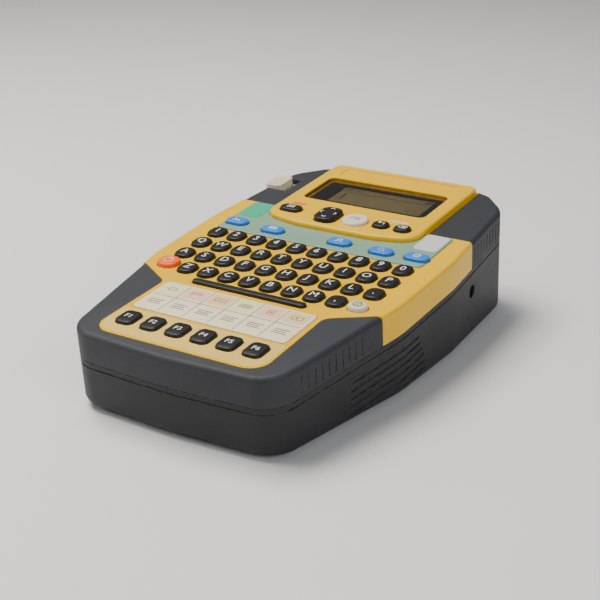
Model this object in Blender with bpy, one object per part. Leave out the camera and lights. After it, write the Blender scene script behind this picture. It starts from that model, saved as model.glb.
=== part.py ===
"""Handheld thermal label printer with a full letter keypad, built as separate pieces.

Sizes are millimetres. X runs across the device, Y towards the display end and Z up.
The key face is tilted, so everything follows the empty "face", whose local Z=0 is the
key deck; the doors, the battery and the feet stay square to the surface it stands on.
"""
import bmesh
import bpy
from math import atan2, ceil, cos, pi, radians, sin, tan
from mathutils import Matrix, Vector

# Driving sizes
TILT = radians(5)
DECK_HEIGHT = 48.0
CENTRE_SHIFT = -2.2
FOOT = 1.5
WALL = 2.4
GAP = 0.3
PARTING = -14.0
HEAD_RISE = 3.0
TRAVEL = 1.0
ARC_STEP = radians(22)
SMALL_STEP = radians(46)
KEY_SIDES = 10

# Case outline, right half from the display end to the grip end: x, y, corner radius
BODY = [(47, 109, 12), (62, 92, 18), (67, 25, 70), (66, -25, 60), (52, -106.5, 15), (0, -109, 0)]
# Yellow face: head, wide middle with the rails, narrow tongue
FACE = [(42.3, 113, 0), (42.3, 48.3, 0), (74, 48.3, 0), (74, -37, 0), (61.5, -38.5, 3), (42, -50.5, 5), (42.6, -101.5, 9)]
HEAD = [(42.3, 108.6, 5), (42.3, 33.5, 10), (21, 28.6, 26)]
BAND_LOW, BAND_HIGH, BAND_HALF = 11.5, 47.6, 56.2

# Keys
COLUMNS, KEY_PITCH = 10, 11.3
ROWS = [5.2, -8.3, -21.8, -35.3]
KEY_SIZE = (9.4, 10.6)
ROW_STRIP = 5.7
FLANGE = 0.9
BLUE_KEYS = [(-49.5, 20.5), (-27.5, 19.0), (9.5, 20.0), (32.5, 19.0), (50.5, 20.0)]
HOT_X = [-32.5, -19.5, -6.5, 6.5, 19.5, 32.5]
WINDOW = (67.0, 28.6, 73.4)

# Printing works
CHASSIS_TOP, CHASSIS_BASE = -23.6, -25.2
PLATEN = (-20.0, 90.0)
MODULE = 0.8
PLATEN_TEETH, IDLER_TEETH, MOTOR_TEETH = 16, 24, 12
GEAR_LOW, GEAR_HIGH = -22.9, -19.4
TAPE_Z = (-43.4, -26.0)

UP = Vector((0, sin(TILT), cos(TILT)))

for thing in list(bpy.data.objects):
    bpy.data.objects.remove(thing)


def empty(name, place, turn=(0, 0, 0)):
    made = bpy.data.objects.new(name, None)
    bpy.context.scene.collection.objects.link(made)
    made.location = [0.001 * v for v in place]
    made.rotation_euler = turn
    return made


face = empty("face", (0, CENTRE_SHIFT, DECK_HEIGHT), (TILT, 0, 0))
base = empty("base", (0, CENTRE_SHIFT, 0))
materials = {}


def finish_of(name, colour, roughness=0.5, metallic=0.0):
    if name not in materials:
        made = bpy.data.materials.new(name)
        made.use_nodes = True
        shader = made.node_tree.nodes["Principled BSDF"]
        shader.inputs["Base Color"].default_value = (*colour, 1)
        shader.inputs["Roughness"].default_value = roughness
        shader.inputs["Metallic"].default_value = metallic
        made.diffuse_color = (*colour, 1)
        materials[name] = made
    return materials[name]


YELLOW = finish_of("yellow_shell", (0.93, 0.55, 0.02), 0.38)
BLACK = finish_of("black_shell", (0.03, 0.03, 0.035), 0.6)
GRIP = finish_of("grip_rubber", (0.045, 0.045, 0.05), 0.8)
KEY = finish_of("key_rubber", (0.025, 0.025, 0.03), 0.55)
BLUE = finish_of("blue_key", (0.12, 0.32, 0.62), 0.45)
SILVER = finish_of("silver_band", (0.42, 0.5, 0.46), 0.4)
CREAM = finish_of("cream_panel", (0.8, 0.74, 0.6), 0.5)
ORANGE = finish_of("orange_key", (0.95, 0.22, 0.02), 0.45)
GLASS = finish_of("window", (0.1, 0.09, 0.07), 0.1)
LCD = finish_of("display", (0.35, 0.34, 0.24), 0.4)
BOARD = finish_of("circuit_board", (0.02, 0.2, 0.08), 0.5)
STEEL = finish_of("steel", (0.6, 0.6, 0.62), 0.3, 1.0)
GEAR = finish_of("gear_plastic", (0.85, 0.84, 0.78), 0.5)
TAPE = finish_of("white_tape", (0.9, 0.9, 0.88), 0.4)
SMOKE = finish_of("cassette_plastic", (0.3, 0.3, 0.32), 0.4)


def rounded(corners, arc_step=ARC_STEP):
    """Closed loop of (x, y) with each corner turned by its radius."""
    loop = []
    for i, (x, y, r) in enumerate(corners):
        here = Vector((x, y))
        back = (Vector(corners[i - 1][:2]) - here).normalized()
        on = (Vector(corners[(i + 1) % len(corners)][:2]) - here).normalized()
        half = back.angle(on) / 2
        if r == 0 or abs(half - pi / 2) < 1e-4:
            loop.append((x, y))
            continue
        centre = here + (back + on).normalized() * (r / sin(half))
        first = here + back * (r / tan(half)) - centre
        sweep = first.angle_signed(here + on * (r / tan(half)) - centre)
        steps = max(1, ceil(abs(sweep) / arc_step))
        start = atan2(first.y, first.x)
        for k in range(steps + 1):
            angle = start - sweep * k / steps
            loop.append((centre.x + r * cos(angle), centre.y + r * sin(angle)))
    return loop


def mirrored(half):
    """Both halves of a symmetric outline, given its right side from top to bottom."""
    left = [(-x, y, r) for x, y, r in reversed(half) if x > 0]
    return rounded(half + left)


def box_loop(x0, y0, x1, y1, r=0.0):
    return rounded([(x0, y1, r), (x1, y1, r), (x1, y0, r), (x0, y0, r)], SMALL_STEP)


def circle(x, y, r, sides=16):
    return [(x + r * cos(-2 * pi * k / sides), y + r * sin(-2 * pi * k / sides)) for k in range(sides)]


def oval(x, y, wide, tall, power=2.6, sides=KEY_SIDES):
    """Superellipse, the plan of a soft key cap."""
    loop = []
    for k in range(sides):
        c, s = cos(-2 * pi * (k + 0.5) / sides), sin(-2 * pi * (k + 0.5) / sides)
        grow = (abs(c) ** power + abs(s) ** power) ** (-1 / power)
        loop.append((x + wide / 2 * c * grow, y + tall / 2 * s * grow))
    return loop


def offset(loop, by):
    """The clockwise loop moved outwards by a distance, or inwards if it is negative."""
    moved = []
    for i, point in enumerate(loop):
        here = Vector(point)
        a = (here - Vector(loop[i - 1])).normalized()
        b = (Vector(loop[(i + 1) % len(loop)]) - here).normalized()
        normal = Vector((-a.y - b.y, a.x + b.x)).normalized()
        moved.append(tuple(here + normal * (by / max(0.3, normal.dot(Vector((-b.y, b.x)))))))
    return moved


def extrude(mesh, loop, low, high):
    """Adds a closed prism over the loop."""
    lower = [mesh.verts.new((x, y, low)) for x, y in loop]
    upper = [mesh.verts.new((x, y, high)) for x, y in loop]
    mesh.faces.new(lower)
    mesh.faces.new(reversed(upper))
    count = len(loop)
    for i in range(count):
        mesh.faces.new((lower[i], upper[i], upper[(i + 1) % count], lower[(i + 1) % count]))


def cap(mesh, loop, low, high, round_off=0.7):
    """A key cap: straight sides with a sloped top edge."""
    rings = [(0, low), (0, high - round_off), (-round_off, high)]
    rows = [[mesh.verts.new((x, y, z)) for x, y in offset(loop, by)] for by, z in rings]
    count = len(loop)
    for under, over in zip(rows, rows[1:]):
        for i in range(count):
            mesh.faces.new((under[i], over[i], over[(i + 1) % count], under[(i + 1) % count]))
    mesh.faces.new(rows[0])
    mesh.faces.new(reversed(rows[-1]))


def trim(mesh, height, keep_above=True, point=None, normal=None):
    """Cuts the mesh by a plane: level with the ground at a height, or the given one."""
    where = point or UP * (height - DECK_HEIGHT)
    toward = Vector(normal or UP)
    geom = mesh.verts[:] + mesh.edges[:] + mesh.faces[:]
    cut = bmesh.ops.bisect_plane(mesh, geom=geom, plane_co=where, plane_no=toward,
                                 clear_inner=keep_above, clear_outer=not keep_above)
    edges = [e for e in cut["geom_cut"] if isinstance(e, bmesh.types.BMEdge)]
    return bmesh.ops.contextual_create(mesh, geom=edges)["faces"]


def finish(name, mesh, material=None, parent=face, at=(0, 0, 0), smooth=True):
    """Turns the mesh, in millimetres about the face, into an object whose origin is at a point."""
    bmesh.ops.recalc_face_normals(mesh, faces=mesh.faces)
    bmesh.ops.translate(mesh, verts=mesh.verts, vec=-Vector(at))
    bmesh.ops.scale(mesh, verts=mesh.verts, vec=(0.001, 0.001, 0.001))
    data = bpy.data.meshes.new(name)
    mesh.to_mesh(data)
    mesh.free()
    if smooth:
        data.shade_smooth()
        data.set_sharp_from_angle(angle=radians(35))
    if material:
        data.materials.append(material)
    made = bpy.data.objects.new(name, data)
    bpy.context.scene.collection.objects.link(made)
    made.location = [0.001 * v for v in at]
    made.parent = parent
    return made


def tool(name, mesh, parent=face):
    made = finish(name, mesh, None, parent, smooth=False)
    made.hide_render = True
    made.display_type = "WIRE"
    return made


def combine(target, other, operation="DIFFERENCE"):
    step = target.modifiers.new(other.name, "BOOLEAN")
    step.operation = operation
    step.object = other
    step.solver = "EXACT"


def prisms(*items):
    """One mesh of separate prisms, each (loop, low, high)."""
    mesh = bmesh.new()
    for loop, low, high in items:
        extrude(mesh, loop, low, high)
    return mesh


def block(x0, y0, x1, y1, low, high, r=0.0):
    return (box_loop(x0, y0, x1, y1, r), low, high)


def bar_x(mesh, x0, x1, y, z, r, sides=12):
    """A round bar along X."""
    before = set(mesh.verts)
    extrude(mesh, circle(0, 0, r, sides), x0, x1)
    fresh = [v for v in mesh.verts if v not in before]
    turn = Matrix.Translation((0, y, z)) @ Matrix.Rotation(pi / 2, 4, "Y")
    bmesh.ops.transform(mesh, matrix=turn, verts=fresh)
    return mesh


body_loop = mirrored(BODY)
face_loop = mirrored(FACE)
head_loop = mirrored(HEAD)
inner_loop = offset(body_loop, -WALL)

# ---------------------------------------------------------------- keys and their openings
deck_openings = []


def key(name, plan, material, top=1.7, deck=0.0):
    """One sprung key: a cap through the deck and a flange held under it."""
    mesh = bmesh.new()
    under = deck - WALL - GAP
    cap(mesh, offset(plan, -GAP), under - 0.4, deck + top)
    deck_openings.append((plan, deck - 6, deck + 4))
    made = finish(name, mesh, material)
    flange = tool(name + "_flange", prisms((offset(plan, 0.7), under - FLANGE, under)))
    combine(made, flange, "UNION")
    return made


def column_x(i):
    return (i - (COLUMNS - 1) / 2) * KEY_PITCH


def key_row(number, y):
    """A moulded strip of ten letter keys; the last row leaves its ends to the round keys."""
    places = [column_x(i) for i in range(COLUMNS)]
    if y == ROWS[-1]:
        places = places[1:-1]
    mesh = bmesh.new()
    plans = [oval(x, y, *KEY_SIZE) for x in places]
    for plan in plans:
        cap(mesh, offset(plan, -GAP), -WALL - GAP - 0.5, 1.5)
        deck_openings.append((plan, -6, 4))
    made = finish(f"key_row_{number}", mesh, KEY)
    reach = KEY_SIZE[0] / 2 + 0.4
    strip = box_loop(places[0] - reach, y - ROW_STRIP, places[-1] + reach, y + ROW_STRIP, 1)
    combine(made, tool(f"key_row_{number}_strip", prisms((strip, -WALL - GAP - FLANGE, -WALL - GAP))), "UNION")
    return made


for number, y in enumerate(ROWS, 1):
    key_row(number, y)
key("power_key", oval(-51.5, -33.9, 11, 10.6, 2.6, 12), ORANGE, 1.9)
key("print_key", oval(50.4, -36.0, 9.4, 8.0), CREAM, 1.9)
key("space_key", box_loop(-30, -47.0, 30, -42.6, 2.0), KEY, 1.3)
for number, (x, y) in enumerate(BLUE_KEYS, 1):
    key(f"function_key_{number}", oval(x, y, 12.5, 7.6, 2.8), BLUE, 1.8)
for number, x in enumerate(HOT_X, 1):
    key(f"hot_key_{number}", oval(x, -88, 9.6, 11.8, 4.0, 12), KEY, 1.5)
key("menu_key", oval(-30.5, 41.2, 12.5, 7.6, 2.4), KEY, 1.5, HEAD_RISE)
key("nav_pad", oval(-8.5, 40.5, 12, 16, 4.0, 12), KEY, 2.2, HEAD_RISE)
key("ok_key", circle(6.5, 40.5, 6.2, 14), CREAM, 1.7, HEAD_RISE)
key("back_key", oval(20.4, 41.2, 9.0, 7.6, 2.4), KEY, 1.5, HEAD_RISE)
key("delete_key", oval(32.0, 41.2, 9.0, 7.6, 2.4), KEY, 1.5, HEAD_RISE)

# ---------------------------------------------------------------- yellow face shell
window_w, window_h, window_y = WINDOW


def window_box(grow, low, high):
    w, h = window_w / 2 + grow, window_h / 2 + grow
    return block(-w, window_y - h, w, window_y + h, low, high, 2.5 + grow)


mesh = prisms((body_loop, PARTING, 0))
rim = [e for e in mesh.edges if all(abs(v.co.z) < 1e-6 for v in e.verts)]
bmesh.ops.bevel(mesh, geom=rim, offset=1.6, segments=2, profile=0.5, affect="EDGES")
front = finish("front_housing", mesh, YELLOW)
combine(front, tool("face_plan", prisms((face_loop, PARTING - 2, 2))), "INTERSECT")

mesh = prisms((offset(head_loop, -0.5), -1.2, HEAD_RISE))
rim = [e for e in mesh.edges if all(v.co.z > HEAD_RISE - 1e-6 for v in e.verts)]
bmesh.ops.bevel(mesh, geom=rim, offset=1.4, segments=2, profile=0.5, affect="EDGES")
combine(front, tool("head_bezel", mesh), "UNION")
cavity = tool("face_cavity", prisms((offset(body_loop, -WALL), PARTING - 3, -WALL)))
combine(cavity, tool("cavity_plan", prisms((offset(face_loop, -WALL), PARTING - 4, 0))), "INTERSECT")
combine(front, cavity)
combine(front, tool("head_cavity", prisms((offset(head_loop, -WALL - 0.8), -4, HEAD_RISE - WALL))))

# ---------------------------------------------------------------- band and legend panel
band = finish("function_strip", prisms(block(-BAND_HALF, BAND_LOW, BAND_HALF, BAND_HIGH, -0.9, 0.5, 3)), SILVER)
combine(band, tool("band_head_cut", prisms((offset(head_loop, 0.1), -3, 3))))
pocket = [block(-BAND_HALF - GAP, BAND_LOW - GAP, BAND_HALF + GAP, 48.0, -0.9 - GAP, 0.9, 3)]
band_pocket = tool("band_pocket", prisms(*pocket))
combine(band_pocket, tool("band_pocket_cut", prisms((offset(head_loop, -0.2), -3, 3))))
combine(front, band_pocket)
finish("legend_panel", prisms(block(-39.4, -77.5, 39.4, -50.2, -0.6, 0.4, 2)), CREAM)
combine(front, tool("panel_pocket", prisms(block(-39.7, -77.8, 39.7, -49.9, -0.9, 2, 2))))

holes = tool("key_holes", prisms(*deck_openings))
combine(front, holes)
combine(band, holes)

lens_low = HEAD_RISE - 1.5
finish("display_lens", prisms(window_box(1.2 - GAP, lens_low, HEAD_RISE - 0.4)), GLASS)
combine(front, tool("lens_rebate", prisms(window_box(1.2, lens_low - GAP, HEAD_RISE + 2))))
combine(front, tool("window_opening", prisms(window_box(-0.8, -2, HEAD_RISE))))
finish("display_module", prisms(block(-37.5, 57, 37.5, 90, -4.4, HEAD_RISE - WALL - GAP, 1)), LCD)

# ---------------------------------------------------------------- shoulder covers and grip
CUTTER_Y = 76.0
for side, label in ((-1, "left"), (1, "right")):
    mesh = prisms((body_loop, PARTING, -0.2))
    rim = [e for e in mesh.edges if all(abs(v.co.z + 0.2) < 1e-6 for v in e.verts)]
    bmesh.ops.bevel(mesh, geom=rim, offset=2.4, segments=3, profile=0.5, affect="EDGES")
    trim(mesh, 0, True, Vector((side * 42.7, 0, 0)), (side, 0, 0))
    trim(mesh, 0, True, Vector((0, 48.7, 0)), (0, 1, 0))
    cover = finish(f"shoulder_cover_{label}", mesh, GRIP)
    mesh = prisms((inner_loop, PARTING - 1, -WALL - 0.2))
    trim(mesh, 0, True, Vector((side * 38, 0, 0)), (side, 0, 0))
    trim(mesh, 0, True, Vector((0, 48.7 + WALL, 0)), (0, 1, 0))
    combine(cover, tool(f"shoulder_hollow_{label}", mesh))
    if side < 0:
        slot = block(-75, CUTTER_Y - 8.0, -50.9, CUTTER_Y + 8.0, -9.5, 3, 0)
        combine(cover, tool("cutter_slot", prisms(slot)))

mesh = prisms((body_loop, PARTING, -0.2))
rim = [e for e in mesh.edges if all(abs(v.co.z + 0.2) < 1e-6 for v in e.verts)]
bmesh.ops.bevel(mesh, geom=rim, offset=2.4, segments=3, profile=0.5, affect="EDGES")
trim(mesh, 0, False, Vector((0, -38.2, 0)), (0, 1, 0))
grip = finish("grip_cover", mesh, GRIP)
combine(grip, tool("grip_face_cut", prisms((offset(face_loop, GAP), PARTING - 2, 2))))
combine(grip, tool("grip_hollow", prisms((inner_loop, PARTING - 1, -WALL - 0.2))))

# ---------------------------------------------------------------- rear shell and its doors
mesh = prisms((body_loop, -70, PARTING - GAP))
bottom = trim(mesh, FOOT)
edges = {e for f in bottom for e in f.edges}
bmesh.ops.bevel(mesh, geom=list(edges), offset=4.5, segments=3, profile=0.5, affect="EDGES")
rear = finish("rear_housing", mesh, BLACK)
mesh = prisms((inner_loop, -72, PARTING + 2))
trim(mesh, FOOT + WALL)
combine(rear, tool("rear_cavity", mesh))

DOOR_LOW, DOOR_HIGH = FOOT, FOOT + 2.2
doors = {
    "cassette_door": {"half": 35.0, "hinge": 23.0, "end": 92.0, "toward": 1},
    "battery_door": {"half": 38.0, "hinge": -44.0, "end": -97.0, "toward": -1},
}
KNUCKLE, PIN, PIN_HOLE = 1.4, 0.55, 0.85
HINGE_Z = FOOT + KNUCKLE
for name, size in doors.items():
    half, hinge, end, toward = size["half"], size["hinge"], size["end"], size["toward"]
    near = hinge + toward * 1.9
    y0, y1 = sorted((near, end))
    mesh = prisms(block(-half, y0, half, y1, DOOR_LOW, DOOR_HIGH, 1.5))
    door = finish(name, mesh, BLACK, base, (0, hinge, HINGE_Z))
    mesh = bmesh.new()
    for x0, x1 in ((-half + 3, -half + 15), (half - 15, half - 3)):
        bar_x(mesh, x0, x1, hinge, HINGE_Z, KNUCKLE, 14)
        y0, y1 = sorted((hinge, near + toward * 1.2))
    combine(door, tool(name + "_knuckles", mesh, base), "UNION")
    arms = [block(x0, y0, x1, y1, HINGE_Z - 0.8, DOOR_HIGH, 0)
            for x0, x1 in ((-half + 3, -half + 15), (half - 15, half - 3))]
    combine(door, tool(name + "_arms", prisms(*arms), base), "UNION")
    bore = tool(name + "_bore", bar_x(bmesh.new(), -half - 4, half + 4, hinge, HINGE_Z, PIN_HOLE, 12), base)
    combine(door, bore)
    finish(name + "_pin", bar_x(bmesh.new(), -half - 3.5, half + 3.5, hinge, HINGE_Z, PIN, 10), STEEL, base)
    y0, y1 = sorted((hinge - toward * 2.6, end + toward * GAP))
    hole = tool(name + "_opening", prisms(block(-half - GAP, y0, half + GAP, y1, -2, FOOT + WALL + 1, 0)), base)
    combine(rear, hole)
    combine(rear, bore)

finish("battery_pack", prisms(block(-36.5, -93, 36.5, -48, 4.6, 21.5, 4)), SMOKE, base)

FEET = [(-50, 72, 4.5), (50, 72, 4.5), (-45.5, -88, 4.0), (45.5, -88, 4.0)]
for number, (x, y, wide) in enumerate(FEET, 1):
    finish(f"foot_{number}", prisms((circle(x, y, wide, 16), 0, FOOT + 0.8)), GRIP, base)
sockets = prisms(*[(circle(x, y, wide + GAP, 16), -1, FOOT + 0.8 + GAP) for x, y, wide in FEET])
combine(rear, tool("foot_sockets", sockets, base))

# ---------------------------------------------------------------- boards
mat = [(60, 28, 3), (60, -33, 3), (38, -48, 3)]
MAT_TOP = -WALL - GAP - FLANGE - TRAVEL - 0.6
finish("keypad_mat", prisms((mirrored(mat), MAT_TOP - 0.8, MAT_TOP)), KEY)
board = [(39, 92, 3), (39, 44, 1), (58, 44, 2), (58, -34, 3), (37.5, -48, 3), (37.5, -91, 3)]
finish("main_board", prisms((mirrored(board), MAT_TOP - 2.6, MAT_TOP - 1.1)), BOARD)

# ---------------------------------------------------------------- label exit
exit_slot = block(-28.5, 100, -23.0, 113, -45.5, -21.0)
combine(rear, tool("label_slot", prisms(exit_slot)))

# ---------------------------------------------------------------- chassis and drive
chassis = finish("printer_chassis", prisms(block(-38.5, 26.6, 38.5, 103.5, -60, CHASSIS_TOP, 2)), SMOKE)
mesh = prisms((offset(body_loop, 20), -90, 0))
trim(mesh, FOOT + WALL + 0.6, False)
combine(chassis, tool("chassis_foot_cut", mesh))
combine(chassis, tool("chassis_bay", prisms(block(-37.3, 27.8, 37.3, 102.3, -80, CHASSIS_BASE, 1))))
combine(chassis, tool("chassis_slot", prisms(block(-29.0, 100, -22.5, 106, -60, -26.4))))
pinion_x = PLATEN[0] + MODULE * (PLATEN_TEETH + IDLER_TEETH) / 2
motor_x = pinion_x + MODULE * (IDLER_TEETH + MOTOR_TEETH) / 2
spin_places = [(PLATEN, 1.5 + GAP), ((pinion_x, PLATEN[1]), 1.5 + GAP), ((motor_x, PLATEN[1]), 2.4)]
combine(chassis, tool("chassis_bores", prisms(*[(circle(x, y, r, 12), -30, -20) for (x, y), r in spin_places])))
combine(chassis, tool("cutter_window", prisms(block(-40, 96.6, -36, 101.2, -60, -28.0))))


def gear(name, place, teeth, bottom, bore_r=0.0, phase=0.0, shaft=None):
    """A spur gear; its shaft, if any, is (radius, low, high)."""
    pitch = MODULE * teeth / 2
    loop = []
    for k in range(teeth):
        mid = phase - 2 * pi * k / teeth
        step = 2 * pi / teeth
        for part, r in ((0.28, pitch - 1.15 * MODULE), (0.10, pitch + 0.85 * MODULE)):
            loop.append((mid + part * step, r))
        for part, r in ((-0.10, pitch + 0.85 * MODULE), (-0.28, pitch - 1.15 * MODULE)):
            loop.append((mid + part * step, r))
    plan = [(place[0] + r * cos(a), place[1] + r * sin(a)) for a, r in loop]
    made = finish(name, prisms((plan, bottom, GEAR_HIGH)), GEAR, at=(*place, bottom))
    if shaft:
        r, low, high = shaft
        combine(made, tool(name + "_shaft", prisms((circle(*place, r, 14), low, high))), "UNION")
    return made


gear("platen_gear", PLATEN, PLATEN_TEETH, GEAR_LOW, phase=0.0)
gear("idler_gear", (pinion_x, PLATEN[1]), IDLER_TEETH, GEAR_LOW, phase=pi + pi / IDLER_TEETH,
     shaft=(1.5, CHASSIS_BASE - 0.6, GEAR_HIGH + 0.4))
gear("motor_pinion", (motor_x, PLATEN[1]), MOTOR_TEETH, GEAR_LOW, phase=pi if IDLER_TEETH % 2 else 0.0,
     shaft=(1.0, CHASSIS_BASE - 0.2, GEAR_HIGH + 0.4))
roller = finish("platen_roller", prisms((circle(*PLATEN, 4.0, 20), TAPE_Z[0], TAPE_Z[1])), GRIP, at=(*PLATEN, -30))
combine(roller, tool("platen_journal", prisms((circle(*PLATEN, 1.5, 12), TAPE_Z[1] - 1, GEAR_LOW - GAP))), "UNION")
finish("feed_motor", prisms((circle(motor_x, PLATEN[1], 9.4, 24), -44, CHASSIS_BASE - GAP - 0.4)), STEEL)
finish("print_head", prisms(block(-31.0, 84, -24.9, 95.5, TAPE_Z[0] + 0.5, CHASSIS_BASE - GAP, 0.8)), STEEL)

# ---------------------------------------------------------------- cutter
arm = [block(-64.2, CUTTER_Y - 7.4, -55.2, CUTTER_Y + 7.4, -8.4, 1.6, 2.0)]
button = finish("cutter_button", prisms(*arm), CREAM, at=(-58, CUTTER_Y, 0))
stem = prisms(block(-60.0, CUTTER_Y - 5, -56.2, CUTTER_Y + 5, -31, -7.0, 1))
combine(button, tool("cutter_stem", stem), "UNION")
cover_plate = prisms(block(-59.6, CUTTER_Y - 9.5, -46.3, CUTTER_Y + 9.5, -4.2, -2.9))
combine(button, tool("cutter_cover_plate", cover_plate), "UNION")
lever = [(-59.6, 80.5, 0.5), (-46.0, 100.8, 1), (-31.2, 100.8, 0.5), (-31.2, 97.0, 0.5), (-44.0, 97.0, 1), (-56.8, 76.0, 0.5)]
combine(button, tool("cutter_lever", prisms((rounded(lever), -37.0, -29.0))), "UNION")
combine(button, tool("cutter_lever_foot", prisms(block(-60.0, CUTTER_Y - 2, -56.2, CUTTER_Y + 5, -37, -29, 0.5))), "UNION")
blade = prisms(([(-30.9, 99.2), (-26.6, 98.6), (-30.9, 98.6)], -44.5, -29.0))
finish("cutter_blade", blade, STEEL)


def coil(name, start, length, radius, wire, turns, material):
    """A compression spring along X from its start point."""
    data = bpy.data.curves.new(name, "CURVE")
    data.dimensions = "3D"
    data.bevel_depth = 0.001 * wire / 2
    data.bevel_resolution = 1
    data.use_fill_caps = True
    spline = data.splines.new("POLY")
    count = int(turns * 8) + 1
    spline.points.add(count - 1)
    for i in range(count):
        angle = 2 * pi * turns * i / (count - 1)
        x = length * i / (count - 1)
        spline.points[i].co = (0.001 * x, 0.001 * radius * cos(angle), 0.001 * radius * sin(angle), 1)
    data.materials.append(material)
    made = bpy.data.objects.new(name, data)
    bpy.context.scene.collection.objects.link(made)
    made.parent = face
    made.location = [0.001 * v for v in start]


SPRING_X = (-55.6, -39.2)
coil("cutter_spring", (SPRING_X[0], CUTTER_Y - 2, -24.5), SPRING_X[1] - SPRING_X[0], 2.6, 0.7, 5, STEEL)

# ---------------------------------------------------------------- tape cassette
CASSETTE = (-17.5, 31.0, 34.5, 79.0)
x0, y0, x1, y1 = CASSETTE
shell = finish("tape_cassette", prisms(block(x0, y0, x1, y1, TAPE_Z[0], TAPE_Z[1], 5)), SMOKE)
inside = block(x0 + 1.2, y0 + 1.2, x1 - 1.2, y1 - 1.2, TAPE_Z[0] + 1.2, TAPE_Z[1] - 1.2, 4)
combine(shell, tool("cassette_inside", prisms(inside)))
combine(shell, tool("cassette_mouth", prisms(block(x0 - 3, y1 - 9, x0 + 3, y1 - 5.5, TAPE_Z[0] + 2, TAPE_Z[1] - 2))))
SPINDLE = 2.1
REELS = {"tape_roll": (13.0, 53.5, 18.5, TAPE), "ribbon_supply": (-9.3, 69.0, 5.0, KEY), "ribbon_takeup": (-9.3, 40.5, 5.5, KEY)}
for name, (x, y, r, material) in REELS.items():
    reel = finish(name, prisms((circle(x, y, r, 28), TAPE_Z[0] + 1.7, TAPE_Z[1] - 1.7)), material, at=(x, y, -34))
    combine(reel, tool(name + "_bore", prisms((circle(x, y, SPINDLE + 0.5, 10), TAPE_Z[0] - 1, TAPE_Z[1] + 1))))
    spindle = prisms((circle(x, y, SPINDLE, 10), TAPE_Z[0] + 0.6, TAPE_Z[1] - 1.7))
    combine(shell, tool(name + "_spindle", spindle), "UNION")

# ---------------------------------------------------------------- power socket
jack = finish("power_socket", prisms(block(49, 44, 61.0, 54, -31, -21, 0.8)), KEY)
bore = bar_x(bmesh.new(), 52, 70, 49, -26, 3.4, 16)
jack_bore = tool("socket_bore", bore)
combine(jack, jack_bore)
combine(rear, jack_bore)

# ---------------------------------------------------------------- door latch
LATCH_Y = 96.5
latch = finish("door_latch", prisms(block(-7, LATCH_Y - 4.2, 7, LATCH_Y + 3.4, FOOT, FOOT + WALL + GAP + 0.4)), GRIP, base)
latch_plate = block(-9.5, LATCH_Y - 3.6, 9.5, LATCH_Y + 5, FOOT + WALL + GAP, FOOT + WALL + GAP + 1)
combine(latch, tool("latch_plate", prisms(latch_plate), base), "UNION")
latch_slot = block(-7.3, LATCH_Y - 5, 7.3, LATCH_Y + 6.8, -1, FOOT + WALL + 1)
combine(rear, tool("latch_slot", prisms(latch_slot), base))
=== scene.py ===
import math

import bmesh
import bpy
from mathutils import Matrix, Vector


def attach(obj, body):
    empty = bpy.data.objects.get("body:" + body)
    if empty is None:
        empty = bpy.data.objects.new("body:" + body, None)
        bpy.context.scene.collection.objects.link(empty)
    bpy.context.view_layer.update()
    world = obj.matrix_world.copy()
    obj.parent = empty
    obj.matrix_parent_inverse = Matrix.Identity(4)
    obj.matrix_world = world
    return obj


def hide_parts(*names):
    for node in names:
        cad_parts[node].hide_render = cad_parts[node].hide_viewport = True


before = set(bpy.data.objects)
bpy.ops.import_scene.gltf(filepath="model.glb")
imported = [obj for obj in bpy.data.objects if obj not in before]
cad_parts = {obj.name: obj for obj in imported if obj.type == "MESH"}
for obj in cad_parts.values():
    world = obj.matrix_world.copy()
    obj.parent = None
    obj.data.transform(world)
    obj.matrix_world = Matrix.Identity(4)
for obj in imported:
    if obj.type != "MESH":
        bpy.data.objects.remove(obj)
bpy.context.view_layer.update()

# the key face leans, so most pieces are drawn flat in millimetres and then stood on this plane
leaning = {"tilt": 5.0, "deckHeight": 48.0, "centreShift": -2.2}
mm = 0.001
gap = 0.3
faceToWorld = (Matrix.Translation((0, leaning["centreShift"] * mm, leaning["deckHeight"] * mm))
               @ Matrix.Rotation(math.radians(leaning["tilt"]), 4, "X") @ Matrix.Scale(mm, 4))
groundToWorld = Matrix.Translation((0, leaning["centreShift"] * mm, 0)) @ Matrix.Scale(mm, 4)
up = Vector((0, math.sin(math.radians(leaning["tilt"])), math.cos(math.radians(leaning["tilt"]))))

case = {
    "outline": [(47, 109, 12), (62, 92, 18), (67, 25, 70), (66, -25, 60), (52, -106.5, 15), (0, -109, 0)],
    "faceOutline": [(42.3, 113, 0), (42.3, 48.3, 0), (74, 48.3, 0), (74, -37, 0), (61.5, -38.5, 3),
                    (42, -50.5, 5), (42.6, -101.5, 9)],
    "headOutline": [(42.3, 108.6, 5), (42.3, 33.5, 10), (21, 28.6, 26)],
    "wall": 2.4, "parting": -14.0, "headRise": 3.0, "foot": 1.5,
}


def bothSides(half):
    return half + [(-x, y, r) for x, y, r in reversed(half) if x > 0]


def boxCorners(x0, y0, x1, y1, r=0.0):
    return [(x0, y1, r), (x1, y1, r), (x1, y0, r), (x0, y0, r)]


def centred(x, y, wide, tall, r):
    return boxCorners(x - wide / 2, y - tall / 2, x + wide / 2, y + tall / 2, r)


def circleCorners(x, y, radius, sides=48):
    turns = [-2 * math.pi * k / sides for k in range(sides)]
    return [(x + radius * math.cos(t), y + radius * math.sin(t), 0) for t in turns]


def cornerReach(corners, index):
    here = Vector(corners[index][:2])
    before = Vector(corners[index - 1][:2]) - here
    after = Vector(corners[(index + 1) % len(corners)][:2]) - here
    return corners[index][2] / math.tan(before.angle(after) / 2)


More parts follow.
